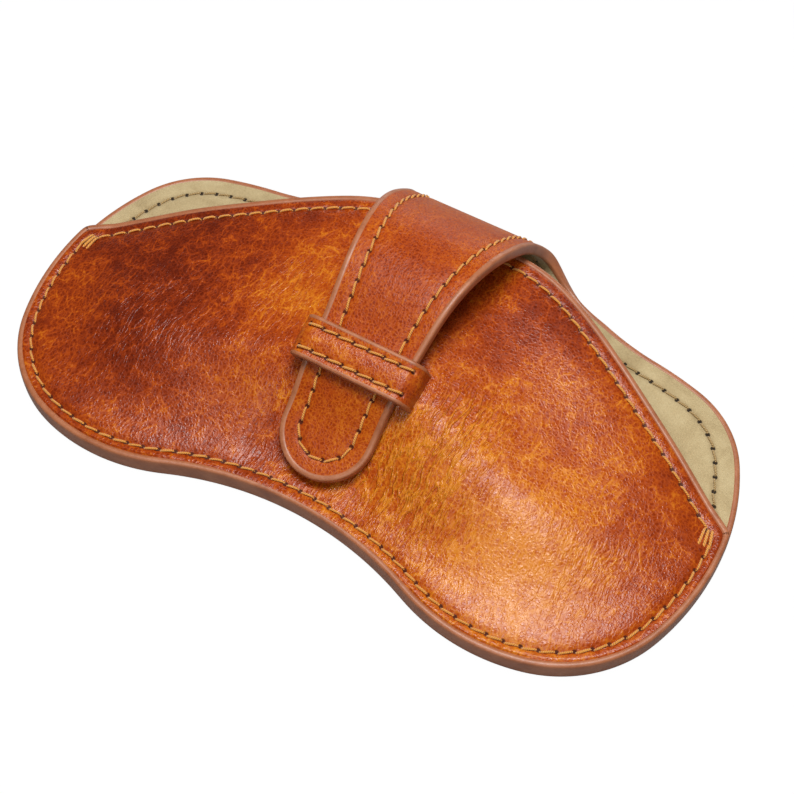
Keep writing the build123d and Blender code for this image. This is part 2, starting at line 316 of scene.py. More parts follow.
def waves(x, y, seeds):
    # Slow soft undulation as a sum of a few plane waves of (length, direction, phase, height).
    total = np.zeros_like(x)
    for length, direction, phase, height in seeds:
        along = x * math.cos(direction) + y * math.sin(direction)
        total += height * np.sin(2 * math.pi * along / length + phase)
    return total


def puff(x, y):
    # Fullness of the front just inside its seam, where the leather bellies up from the stitches.
    index = np.arange(0, len(rim_dense), 12)
    spread = np.stack([abs(x), y], -1)[:, None] - rim_dense[index][None]
    inner = np.maximum(np.linalg.norm(spread, axis=2).min(1) - seam_inset, 0)
    clear_of_tongue = ease(abs(x), 12.5, 19) + ease(inner, 22, 30)
    below_mouth = ease(np.interp(x, mouth[:, 0], mouth[:, 1]) - y, 2, 12)
    swell = (1 - np.exp(-inner / 3.0)) * np.exp(-inner / 16.0)
    return fullness * swell * np.minimum(clear_of_tongue, 1) * below_mouth


def relief(x, y):
    # Slight slackness of the front leather, which dies out at its sewn edge.
    return waves(x, y, front_waves) * ease(crown(x, y), 0.5, 6) + puff(x, y)


flap_side = curve_through(
    [(width, share * flap_length) for share, width in flap_widths]
    + [(tip_radius, flap_length - tip_radius)],
    shoulder_way,
    (0, 1),
)
tip_turn = np.linspace(0, math.pi / 2, 40)[1:]
tip_round = np.stack(
    [tip_radius * np.cos(tip_turn), flap_length - tip_radius * (1 - np.sin(tip_turn))], -1
)
flap_outline = np.vstack([flap_side, tip_round]) + (0, fold_y)

# Back panel and flap as one pattern: outline and stitch row, both from the waist round to the tip
pattern_half = np.vstack([rim, flap_outline[1:]])
pattern_half = at(pattern_half, np.linspace(0, runs(pattern_half)[-1], 1600))
pattern_out = outward(pattern_half)
pattern_out[0], pattern_out[-1] = (0, -1), (0, 1)


def pattern_inset(flat):
    # Distance of the pattern's stitch row from its edge: close at the seam, wider at the lobes.
    found = seam_inset + (rim_inset - seam_inset) * ease(flat[:, 1], -4, 8)
    return found + (strap_inset - rim_inset) * ease(flat[:, 1], fold_y - 8, fold_y + 8)


row_half = pattern_half - pattern_out * pattern_inset(pattern_half)[:, None]


def round_trip(half):
    # Closed loop from a right half that begins and ends on the line of symmetry.
    return np.vstack([half, half[-2:0:-1] * (-1, 1)])


def matched(loop, guide, count):
    # Points of two loops that have the same number of points, spaced evenly on the first.
    lengths = runs(ring(loop))
    base = np.arange(len(lengths))
    index = np.interp(np.arange(count) / count * lengths[-1], lengths, base)
    return [
        np.stack([np.interp(index, base, line[:, i]) for i in range(2)], -1)
        for line in (ring(loop), ring(guide))
    ]


samples_per_stitch = 6
pattern_row_loop = round_trip(row_half)
pattern_stitches = round(runs(ring(pattern_row_loop))[-1] / pitch)
pattern_row, pattern_edge = matched(
    pattern_row_loop, round_trip(pattern_half), pattern_stitches * samples_per_stitch
)


def crossing(first, second):
    # Lengths along two lines at which they cross, on the right-hand side.
    apart = np.linalg.norm(first[:, None] - second[None], axis=2)
    apart[first[:, 0] < 20] = 1e9
    i, j = np.unravel_index(np.argmin(apart), apart.shape)
    return runs(first)[i], runs(second)[j]


def pocket_halves(side_line, top_line):
    # Right half of a line round the front panel: sewn side and mouth, up to their corner.
    side_end, top_end = crossing(side_line, top_line)
    side_half = at(side_line, np.linspace(0, side_end, 1200))
    top_mid = runs(top_line)[-1] / 2
    top_half = at(top_line, np.linspace(top_end, top_mid, 900))
    return side_half, top_half


mouth_out = -outward(mouth)
mouth_row = mouth - mouth_out * mouth_inset
rim_row = rim_dense - outward(rim_dense) * seam_inset
edge_side, edge_top = pocket_halves(rim_dense, mouth)
row_side, row_top = pocket_halves(rim_row, mouth_row)
pocket_edge_loop = round_trip(np.vstack([edge_side, edge_top[1:]]))
pocket_row_loop = round_trip(np.vstack([row_side, row_top[1:]]))
pocket_stitches = round(runs(ring(pocket_row_loop))[-1] / pitch)
pocket_row, pocket_edge = matched(
    pocket_row_loop, pocket_edge_loop, pocket_stitches * samples_per_stitch
)
pocket_row = soften(pocket_row, 10)
pocket_edge = soften(pocket_edge, 5)


# Flat meshes

def inside(points, loop):
    # Which points lie in a closed loop.
    x, y = points[:, 0], points[:, 1]
    found = np.zeros(len(points), bool)
    for a, b in zip(loop, np.roll(loop, -1, 0)):
        spans = (a[1] > y) != (b[1] > y)
        if spans.any():
            cross = a[0] + (y[spans] - a[1]) * (b[0] - a[0]) / (b[1] - a[1])
            found[spans] ^= x[spans] < cross
    return found


def quads(rows, columns, wrapped):
    # Faces of a grid of points, row after row. A wrapped grid closes round each row.
    found = []
    for r in range(rows - 1):
        for c in range(columns if wrapped else columns - 1):
            here, there = r * columns + c, r * columns + (c + 1) % columns
            found.append((here, there, there + columns, here + columns))
    return found


def flat_panel(row, edge, spacing):
    # Rings of quads along the edge and the stitch row, and even triangles in the middle.
    count = len(row)
    out = outward(row, True)
    shares = [1, 0.975, 0.935, 0.88, 0.8, 0.68, 0.54, 0.4, 0.27, 0.17, 0.085]
    rings = [row + (edge - row) * s for s in shares] + [row]
    width = np.linalg.norm(edge - row, axis=1)
    offsets = [width * s for s in shares] + [np.zeros(count)]
    for depth in (0.4, 0.8, 1.4, 2.2):
        rings.append(row - out * depth)
        offsets.append(np.full(count, -depth))
    points = np.vstack(rings)
    run = np.tile(np.arange(count) / samples_per_stitch, len(rings))
    off = np.concatenate(offsets)
    faces = quads(len(rings), count, True)
    inner = rings[-1]
    guard = row - out * (2.2 + 0.6 * spacing)
    low, high = inner.min(0), inner.max(0)
    grid = []
    rows = int((high[1] - low[1]) / (spacing * 0.866))
    for j in range(rows + 1):
        xs = np.arange(low[0] + (j % 2) * spacing / 2, high[0], spacing)
        grid.append(np.stack([xs, np.full(len(xs), low[1] + j * spacing * 0.866)], -1))
    grid = np.vstack(grid)
    grid = grid[inside(grid, guard)]
    coords = [Vector(p) for p in inner] + [Vector(p) for p in grid]
    border = [(i, (i + 1) % count) for i in range(count)]
    made = geometry.delaunay_2d_cdt(coords, border, [], 1, 1e-5)
    start = len(points) - count
    new_points, new_faces, origins = made[0], made[2], made[3]
    index = []
    extra = []
    for k, source in enumerate(origins):
        if source and source[0] < count:
            index.append(start + source[0])
        else:
            index.append(len(points) + len(extra))
            extra.append(tuple(new_points[k]))
    extra = np.array(extra)
    faces += [tuple(index[v] for v in face) for face in new_faces]
    points = np.vstack([points, extra])
    run = np.r_[run, np.zeros(len(extra))]
    off = np.r_[off, np.full(len(extra), -9.0)]
    return points, faces, run, off


def new_piece(name, points, faces):
    mesh = bpy.data.meshes.new(name)
    mesh.from_pydata([tuple(p) for p in points], [], faces)
    obj = bpy.data.objects.new(name, mesh)
    bpy.context.scene.collection.objects.link(obj)
    return obj


def corners_of(obj):
    # Vertex at each corner of a mesh's faces.
    found = np.zeros(len(obj.data.loops), int)
    obj.data.loops.foreach_get("vertex_index", found)
    return found


def add_map(obj, name, values):
    # UV map from a pair of values for each vertex.
    layer = obj.data.uv_layers.new(name=name)
    layer.data.foreach_set("uv", np.array(values)[corners_of(obj)].ravel())


def flat_piece(name, panel, turns):
    # Flat mesh with a map of (stitch number, distance from the stitch row in millimetres).
    points, faces, run, off = panel
    obj = new_piece(name, np.c_[points, np.zeros(len(points))], faces)
    mesh = obj.data
    corner = corners_of(obj)
    corner_run = run[corner]
    starts = np.zeros(len(mesh.polygons), int)
    totals = np.zeros(len(mesh.polygons), int)
    mesh.polygons.foreach_get("loop_start", starts)
    mesh.polygons.foreach_get("loop_total", totals)
    face_of = np.repeat(np.arange(len(starts)), totals)
    top = np.maximum.reduceat(corner_run, starts)[face_of]
    past_end = (top - corner_run > turns / 2) & (off[corner] > -5)
    corner_run = np.where(past_end, corner_run + turns, corner_run)
    layer = mesh.uv_layers.new(name="stitch_map")
    layer.data.foreach_set("uv", np.stack([corner_run, off[corner]], -1).ravel())
    return obj


def keep_side(obj, sign):
    # Cuts a flat piece on the fold's first line and keeps one side of it.
    shape = bmesh.new()
    shape.from_mesh(obj.data)
    bmesh.ops.bisect_plane(
        shape,
        geom=shape.verts[:] + shape.edges[:] + shape.faces[:],
        dist=1e-4,
        plane_co=(0, fold_y, 0),
        plane_no=(0, sign, 0),
        clear_outer=True,
    )
    shape.to_mesh(obj.data)
    shape.free()


def coords_of(obj):
    co = np.zeros(len(obj.data.vertices) * 3)
    obj.data.vertices.foreach_get("co", co)
    return co.reshape(-1, 3)


def set_coords(obj, co):
    obj.data.vertices.foreach_set("co", np.asarray(co, np.float32).ravel())
    obj.data.update()


def stitch_offsets(obj):
    # Distance from the stitch row and from the nearest hole, for each vertex.
    layer = obj.data.uv_layers["stitch_map"].data
    uv = np.zeros(len(obj.data.loops) * 2)
    layer.foreach_get("uv", uv)
    found = np.zeros((len(obj.data.vertices), 2))
    found[corners_of(obj)] = uv.reshape(-1, 2)
    along = abs((found[:, 0] + 0.5) % 1 - 0.5) * pitch
    return found[:, 1], np.hypot(along, found[:, 1])


def use(obj):
    bpy.ops.object.select_all(action="DESELECT")
    obj.select_set(True)
    bpy.context.view_layer.objects.active = obj


def edit(obj, action):
    # Does something in edit mode with the whole mesh selected.
    use(obj)
    bpy.ops.object.mode_set(mode="EDIT")
    bpy.ops.mesh.select_all(action="SELECT")
    action()
    bpy.ops.object.mode_set(mode="OBJECT")


def finish_sheet(obj, thickness, flip):
    # Gives a placed surface its thickness, under its face, and smooth shading.
    use(obj)
    if flip:
        edit(obj, bpy.ops.mesh.flip_normals)
    solid = obj.modifiers.new("thickness", "SOLIDIFY")
    solid.thickness = thickness
    solid.offset = -1
    bpy.ops.object.modifier_apply(modifier=solid.name)
    bpy.ops.object.shade_smooth_by_angle(angle=math.radians(50))
    return obj


def sunk(off, hole, groove, depth):
    # Depth of the pressed stitch groove and of the needle holes.
    pressed = groove * np.exp(-(off / groove_half_width) ** 2)
    return pressed + depth * np.exp(-(hole / hole_radius) ** 2)


def edge_roll(off, inset_now, radius):
    # How far the face rolls down close to the edge.
    inward = np.clip(inset_now - off, 0, radius)
    return radius - np.sqrt(np.maximum(radius ** 2 - (radius - inward) ** 2, 0))


pattern_panel = flat_panel(pattern_row, pattern_edge, 1.1)
pocket_panel = flat_panel(pocket_row, pocket_edge, 0.75)


def pattern_sheet(name, sign, face_depth, thickness, flip, groove, hole_depth):
    obj = flat_piece(name, pattern_panel, pattern_stitches)
    keep_side(obj, sign)
    flat = coords_of(obj)
    off, hole = stitch_offsets(obj)
    down = sunk(off, hole, groove, hole_depth)
    down = down + edge_roll(off, pattern_inset(flat), edge_rolls["panel"])
    depth = face_depth + (-down if flip else down)
    set_coords(obj, back_place(flat, depth) * MM)
    return finish_sheet(obj, thickness * MM, not flip)


back_leather = pattern_sheet("back_panel_leather", 1, 0, leather, False, 0.12, 0.3)
back_lining = pattern_sheet("back_panel_lining", 1, sheet, lining, True, 0.12, 0.3)
strap_leather = pattern_sheet("strap_leather_cover", -1, 0, leather, False, 0.2, 0.35)
strap_lining = pattern_sheet("strap_lining_cover", -1, sheet, lining, True, 0.12, 0.3)


def pocket_sheet(name, face_depth, thickness, flip, groove, hole_depth):
    obj = flat_piece(name, pocket_panel, pocket_stitches)
    flat = coords_of(obj)
    off, hole = stitch_offsets(obj)
    down = sunk(off, hole, groove, hole_depth) + edge_roll(off, seam_inset, edge_rolls["pocket"])
    set_coords(obj, front_place(flat, face_depth + (-down if flip else down)) * MM)
    return finish_sheet(obj, thickness * MM, flip)


front_leather = pocket_sheet("front_panel_leather", 0, leather, False, 0.22, 0.4)
front_lining = pocket_sheet("front_panel_lining", sheet, lining, True, 0.1, 0.2)

# Painted edges: a rounded bead that closes the cut edge of one or more sheets

def bead(name, top, bottom, out, bulge=edge_bulge, wrap=0.75):
    # Rounded bead between the top and bottom lines of an edge, which laps onto both faces by wrap.
    up = top - bottom
    half = np.linalg.norm(up, axis=1)[:, None] / 2
    up = up / (2 * half)
    middle = (top + bottom) / 2
    # Each row: share of the half height, height above it, distance outward.
    section = [(1, -0.3, -wrap - 0.3), (1, 0.02, -wrap), (1, 0.07, -wrap * 0.6)]
    section.append((1, 0.08, -wrap * 0.25))
    for angle in np.radians([22, 38, 55, 73, 90]):
        across, along = math.cos(angle), math.sin(angle)
        section.append((across ** 0.62, 0.06 * across, bulge * along ** 0.8))
    section += [(-a, -b, c) for a, b, c in reversed(section[:-1])]
    rings = [middle + up * (half * a + b) + out * c for a, b, c in section]
    count, around = len(top), len(section)
    points = np.stack(rings, 1).reshape(-1, 3)
    faces = quads(count, around, True)
    faces.append(tuple(range(around - 1, -1, -1)))
    faces.append(tuple((count - 1) * around + k for k in range(around)))
    obj = new_piece(name, points * MM, faces)
    edit(obj, lambda: bpy.ops.mesh.normals_make_consistent(inside=False))
    bpy.ops.object.shade_smooth_by_angle(angle=math.radians(60))
    return obj


def unit(vectors):
    return vectors / np.linalg.norm(vectors, axis=1)[:, None]


def pattern_bead(name, flat):
    # Bead on a run of the pattern's edge.
    normals = outward(flat)
    lean = unit(back_place(flat + normals * 0.05, 0) - back_place(flat, 0))
    return bead(name, back_place(flat, 0), back_place(flat, sheet), lean)


half_run = pattern_half[:, 1]
rim_start = int(np.argmax((half_run > corner_y - 3.5) & (pattern_half[:, 0] > 40)))
fold_start_index = int(np.argmax((half_run > fold_y) & (pattern_half[:, 0] > 20)))
right_rim = pattern_half[rim_start:fold_start_index + 1]
strap_right = pattern_half[fold_start_index:]
strap_loop = np.vstack([strap_right, strap_right[-2::-1] * (-1, 1)])


def thin(line):
    # The line with a point every 0.6 mm or so.
    return at(line, np.linspace(0, runs(line)[-1], int(runs(line)[-1] / 0.6)))


right_rim_edge = pattern_bead("right_rim_edge", thin(right_rim))
left_rim_edge = pattern_bead("left_rim_edge", thin(right_rim[::-1] * (-1, 1)))
strap_edge = pattern_bead("strap_painted_edge", thin(strap_loop))

pocket_edge_out = outward(pocket_edge, True)
pocket_top = front_place(pocket_edge, 0.1)
pocket_lean = unit(front_place(pocket_edge + pocket_edge_out * 0.05, 0.1) - pocket_top)
row_total = 2 * (runs(row_side)[-1] + runs(row_top)[-1])
row_run = np.arange(len(pocket_edge)) / len(pocket_edge) * row_total
from_corner = np.minimum(row_run, row_total - row_run) - runs(row_side)[-1]
sewn = 1 - ease(from_corner, -1.2, 0.8)[:, None]
mouth_bottom = front_place(pocket_edge, sheet)
seam_bottom = np.c_[pocket_edge, np.zeros(len(pocket_edge))]
pocket_bottom = mouth_bottom * (1 - sewn) + seam_bottom * sewn
sewn_part = from_corner < 0.6
mouth_part = from_corner > -0.6


def run_of(mask):
    # Indices of the one unbroken run of a closed loop where the mask holds.
    start = int(np.argmax(mask & ~np.roll(mask, 1)))
    order = (start + np.arange(len(mask))) % len(mask)
    return order[: int(mask.sum())]


seam_run, mouth_run = run_of(sewn_part), run_of(mouth_part)
seam_edge, mouth_edge = [
    bead(name, pocket_top[run], pocket_bottom[run], pocket_lean[run])
    for name, run in [("seam_painted_edge", seam_run), ("mouth_painted_edge", mouth_run)]
]

# Keeper: a band over the tongue, whose ends go down through the front

keeper_run = float(flap_runs[np.argmax((flap_curve[:, 0] < keeper_y) & (flap_runs > 60))])
keeper_centre = back_place(np.array([[0, fold_y + keeper_run]]), 0)[0]
keeper_way = np.array([0, *[np.interp(keeper_run, flap_runs, flap_ways[:, i]) for i in (0, 1)]])
keeper_up = np.array([0, keeper_way[2], -keeper_way[1]])
tongue_half = float(
    np.interp(keeper_run - keeper_half_width, flap_outline[:, 1] - fold_y, flap_outline[:, 0])
)
keeper_half = tongue_half + keeper_side + sheet
keeper_top = keeper_gap + sheet
keeper_corner = keeper_bend + sheet


def keeper_point(x, height, along):
    return keeper_centre + np.array([x, 0, 0]) + keeper_up * height + keeper_way * along


def keeper_leg(x, along):
    # Height at which a leg ends, just inside the front leather.
    height = 0.0
    for _ in range(12):
        place = keeper_point(x, height, along)
        surface = float(front_place(place[None, :2], 1.1)[0, 2])
        height += (surface - place[2]) / keeper_up[2]
    return height


def keeper_path(along, depth):
    # One line across the band at a depth under its outer face, with the distance along it.
    half, top, corner = keeper_half - depth, keeper_top - depth, keeper_corner - depth
    low = keeper_leg(half, along)
    turn = np.linspace(0, math.pi / 2, 9)
    leg = [(half, low + (top - corner - low) * t) for t in np.linspace(0, 1, 9)[:-1]]
    bend = [(half - corner * (1 - math.cos(a)), top - corner * (1 - math.sin(a))) for a in turn]
    level = [((half - corner) * (1 - t), top) for t in np.linspace(0, 1, 17)[1:]]
    right = np.array(leg + bend + level)
    return np.vstack([right, right[-2::-1] * (-1, 1)])


def keeper_line(depth, along):
    return np.array([keeper_point(x, h, along) for x, h in keeper_path(along, depth)])


# Lines of the band's mesh, from its edge to its middle and on to the other edge
near_edge = [-keeper_half_width, -4.15, -3.9, -3.6, -3.3]
near_row = [-3.0, -2.8, -2.6, -2.4, -2.2]
keeper_alongs = np.array(near_edge + near_row + [-1.8, -1.2, -0.6, 0])
keeper_alongs = np.r_[keeper_alongs, -keeper_alongs[-2::-1]]


def keeper_sheet(name, depth, thickness, flip):
    # One sheet of the band, with holes as far round as its stitches go.
    fine = np.linspace(0, 1, 141)
    lines = []
    distances = []
    for along in keeper_alongs:
        path = keeper_path(along, depth)
        spread = runs(path)[-1] * fine
        lines.append(at(path, spread))
        distances.append(spread - runs(path)[-1] / 2)
    points, uv = [], []
    for along, line, distance in zip(keeper_alongs, lines, distances):
        sewn = abs(distance) < (keeper_stitches / 2 + 0.2) * keeper_pitch
        off = np.where(sewn, abs(along) - keeper_row, 9.0)
        hole_gap = abs((distance / keeper_pitch) % 1 - 0.5) * keeper_pitch
        down = sunk(off, np.hypot(hole_gap, off), 0.2, 0.35)
        from_edge = np.full(len(line), -abs(along))
        down = down + edge_roll(from_edge, -keeper_half_width, edge_rolls["keeper"])
        down = down - keeper_fullness * (1 - min(1.0, abs(along) / keeper_row) ** 2)
        flat_normal = outward(line)
        for (x, h), (nx, nh), d, s, o in zip(line, flat_normal, down, distance, off):
            sink = -d if flip else d
            points.append(keeper_point(x - nx * sink, h - nh * sink, along))
            uv.append((s / keeper_pitch + 0.5, o))
    obj = new_piece(name, np.array(points) * MM, quads(len(keeper_alongs), len(fine), False))
    add_map(obj, "stitch_map", uv)
    return finish_sheet(obj, thickness * MM, flip)


keeper_leather = keeper_sheet("keeper_band", 0, leather, False)
keeper_backing = keeper_sheet("keeper_band_backing", sheet, lining, True)
keeper_edges = []
for name, side in [("keeper_upper_edge", -1), ("keeper_lower_edge", 1)]:
    top, bottom = [keeper_line(d, side * keeper_half_width) for d in (keeper_edge_drop, sheet)]
    lean = np.tile(keeper_way * side, (len(top), 1))
    keeper_edges.append(bead(name, top, bottom, lean, 0.4, 0.5))

# Thread

def thread_shape():
    # One stitch, modelled along X with its ends turned down into their holes.
    bpy.ops.object.select_all(action="DESELECT")
    bpy.ops.mesh.primitive_cylinder_add(
        vertices=8,
        radius=thread_radius * MM,
        depth=stitch_length * MM,
        end_fill_type="NGON",
        rotation=(0, math.pi / 2, 0),
    )
    obj = bpy.context.object
    bpy.ops.object.transform_apply(location=False, rotation=True, scale=False)
    bpy.ops.object.mode_set(mode="EDIT")
    for share in (-0.42, -0.3, -0.1, 0.1, 0.3, 0.42):
        bpy.ops.mesh.select_all(action="SELECT")
        bpy.ops.mesh.bisect(plane_co=(stitch_length * MM * share, 0, 0), plane_no=(1, 0, 0))
    bpy.ops.object.mode_set(mode="OBJECT")
    co = coords_of(obj) / MM
    faces = [tuple(p.vertices) for p in obj.data.polygons]
    bpy.data.objects.remove(obj)
    share = co[:, 0] / (stitch_length / 2)
    swell = 1 - 0.3 * abs(share) ** 4
    shaped = np.stack(
        [co[:, 0], co[:, 1] * swell, co[:, 2] * swell * 0.9 + 0.16 - 0.7 * abs(share) ** 5], -1
    )
    around = np.arctan2(co[:, 2], co[:, 1]) / (2 * math.pi)
    return shaped, faces, np.stack([co[:, 0], around], -1)


thread_points, thread_faces, thread_uv = thread_shape()


def thread_row(name, centres, headings, normals, slant=0.13, length=1.0, lift=0.0, stout=1.0):
    # Copies of the stitch at each place, joined to one row.
    points, faces, uv = [], [], []
    for i, (centre, heading, normal) in enumerate(zip(centres, headings, normals)):
        heading = heading - normal * (heading @ normal)
        heading = heading / np.linalg.norm(heading)
        side = np.cross(normal, heading)
        lead = heading * math.cos(slant) + side * math.sin(slant)
        side = np.cross(normal, lead)
        vary = 1 + 0.05 * math.sin(i * 2.4) + 0.03 * math.sin(i * 5.1)
        local = thread_points * (length * (1 + 0.03 * math.sin(i * 3.7)), vary * stout, stout)
        points.append(
            centre
            + local[:, :1] * lead
            + local[:, 1:2] * side
            + (local[:, 2:] + lift) * normal
        )
        base = i * len(thread_points)
        faces += [tuple(v + base for v in face) for face in thread_faces]
        uv.append(thread_uv + (i * 0.37, 0))
    obj = new_piece(name, np.vstack(points) * MM, faces)
    add_map(obj, "thread_map", np.vstack(uv))
    use(obj)
    bpy.ops.object.shade_smooth()
    return obj


def spots(row, place, depth, flip):
    # Centres, headings and normals of the stitches between the holes of a closed row.
    count = len(row)
    middle = np.arange(0, count, samples_per_stitch) + samples_per_stitch // 2
    here, ahead, behind = row[middle], row[(middle + 2) % count], row[(middle - 2) % count]
    out = outward(row, True)[middle]
    centre = place(here, depth)
    heading = place(ahead, depth) - place(behind, depth)
    across = place(here + out * 0.3, depth) - place(here - out * 0.3, depth)
    normal = unit(np.cross(across, heading))
    return here, centre, heading, -normal if flip else normal


def chosen(found, mask):
    return [part[mask] for part in found[1:]]


front_spots = spots(pocket_row, front_place, 0.12, False)
stitch_run = (np.arange(pocket_stitches) + 0.5) / pocket_stitches * row_total
stitch_from_corner = np.minimum(stitch_run, row_total - stitch_run) - runs(row_side)[-1]
on_seam = stitch_from_corner < 0
tack_centre = (half_length - 3.9, corner_y - 4.6)
on_right = np.stack([abs(front_spots[0][:, 0]), front_spots[0][:, 1]], -1)
off_tack = np.linalg.norm(on_right - tack_centre, axis=1) > tack_clearance
seam_stitches = thread_row("seam_stitches", *chosen(front_spots, on_seam & off_tack))
mouth_stitches = thread_row("mouth_stitches", *chosen(front_spots, ~on_seam & off_tack))

outer_spots = spots(pattern_row, back_place, 0.1, True)
inner_spots = spots(pattern_row, back_place, sheet - 0.1, False)
stitch_y = outer_spots[0][:, 1]
stitch_x = outer_spots[0][:, 0]
on_flap = stitch_y > fold_y + 0.5
exposed = (stitch_y > corner_y + 2.6) & ~on_flap
strap_stitches = thread_row("strap_stitches", *chosen(outer_spots, on_flap))
strap_under_stitches = thread_row("strap_underside_stitches", *chosen(inner_spots, on_flap))
bottom_stitches = thread_row("underside_stitches", *chosen(outer_spots, ~on_flap), 0.13, 1.0, -0.38)
right_rim_stitches, left_rim_stitches = [
    thread_row(f"{side}_rim_stitches", *chosen(inner_spots, exposed & (stitch_x * sign > 0)))
    for side, sign in [("right", 1), ("left", -1)]
]

keeper_stitch_rows = []
for name, side in [("keeper_upper_stitches", -1), ("keeper_lower_stitches", 1)]:
    path = keeper_path(side * keeper_row, 0.1)
    middle = runs(path)[-1] / 2
    steps = middle + keeper_pitch * (np.arange(keeper_stitches) - (keeper_stitches - 1) / 2)
    flat = at(path, steps)
    normal = outward(path)
    index = [int(np.argmin(abs(runs(path) - s))) for s in steps]
    normals = np.array([keeper_up * normal[i][1] + np.array([normal[i][0], 0, 0]) for i in index])
    centres = np.array([keeper_point(x, h, side * keeper_row) for x, h in flat])
    headings = np.array([np.cross(keeper_way, n) for n in normals])
    keeper_stitch_rows.append(thread_row(name, centres, headings, normals))

# Bar tacks where the mouth meets the seam
tacks = []
for name, mirror in [("right_corner_bar_tack", 1), ("left_corner_bar_tack", -1)]:
    centres, headings, normals = [], [], []
    for i in range(tack_strands):
        x, y = tack_centre[0] + tack_spacing * (1 - i), tack_centre[1] + 0.24 * (1 - i)
        flat = np.array([[x * mirror, y]])
        slope_x, slope_y = crown_slopes(flat[:, 0], flat[:, 1])
        centres.append(front_place(flat, -0.04)[0])
        headings.append(np.array([(-0.25 + 0.09 * i) * mirror, 1.0, 0.0]))
        normals.append(unit(np.array([[-slope_x[0], -slope_y[0], 1.0]]))[0])
    tacks.append(thread_row(name, centres, headings, normals, 0.0, 1.45, 0.0, 1.25))

# What each piece follows and which CAD nodes it stands for: the pouch's pieces follow its body, the
# strap's pieces stay in place with no body to follow
for obj, *nodes in [
    (back_leather, "back_leather"),
    (back_lining, "back_lining"),
    (front_leather, "front_leather"),
    (front_lining, "front_lining"),
    (seam_edge, "seam_edge_paint"),
    (mouth_edge, "mouth_edge_paint"),
    (right_rim_edge, "rim_edge_paint"),
    (left_rim_edge, "rim_edge_paint"),
    (keeper_leather, "keeper_leather"),
    (keeper_backing, "keeper_backing"),
    (keeper_edges[0], "keeper_edge_paint"),
    (keeper_edges[1], "keeper_edge_paint"),
    (seam_stitches, "seam_thread"),
    (mouth_stitches, "mouth_thread"),
    (bottom_stitches,),
    (right_rim_stitches, "right_rim_thread"),
    (left_rim_stitches, "left_rim_thread"),
    (keeper_stitch_rows[0], "keeper_upper_thread"),
    (keeper_stitch_rows[1], "keeper_lower_thread"),
    (tacks[0], "right_corner_tack"),
    (tacks[1], "left_corner_tack"),
]:
    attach(obj, "pouch")
    if nodes:
        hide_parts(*nodes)
for obj, *nodes in [
    (strap_leather, "strap_leather", "tongue_leather"),
    (strap_lining, "strap_lining", "tongue_lining"),
    (strap_edge, "strap_edge_paint", "tongue_edge_paint"),
    (strap_stitches, "strap_thread", "tongue_thread", "fold_thread"),
    (strap_under_stitches,),
]:
    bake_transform(obj)
    if nodes:
        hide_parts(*nodes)

# Finishes

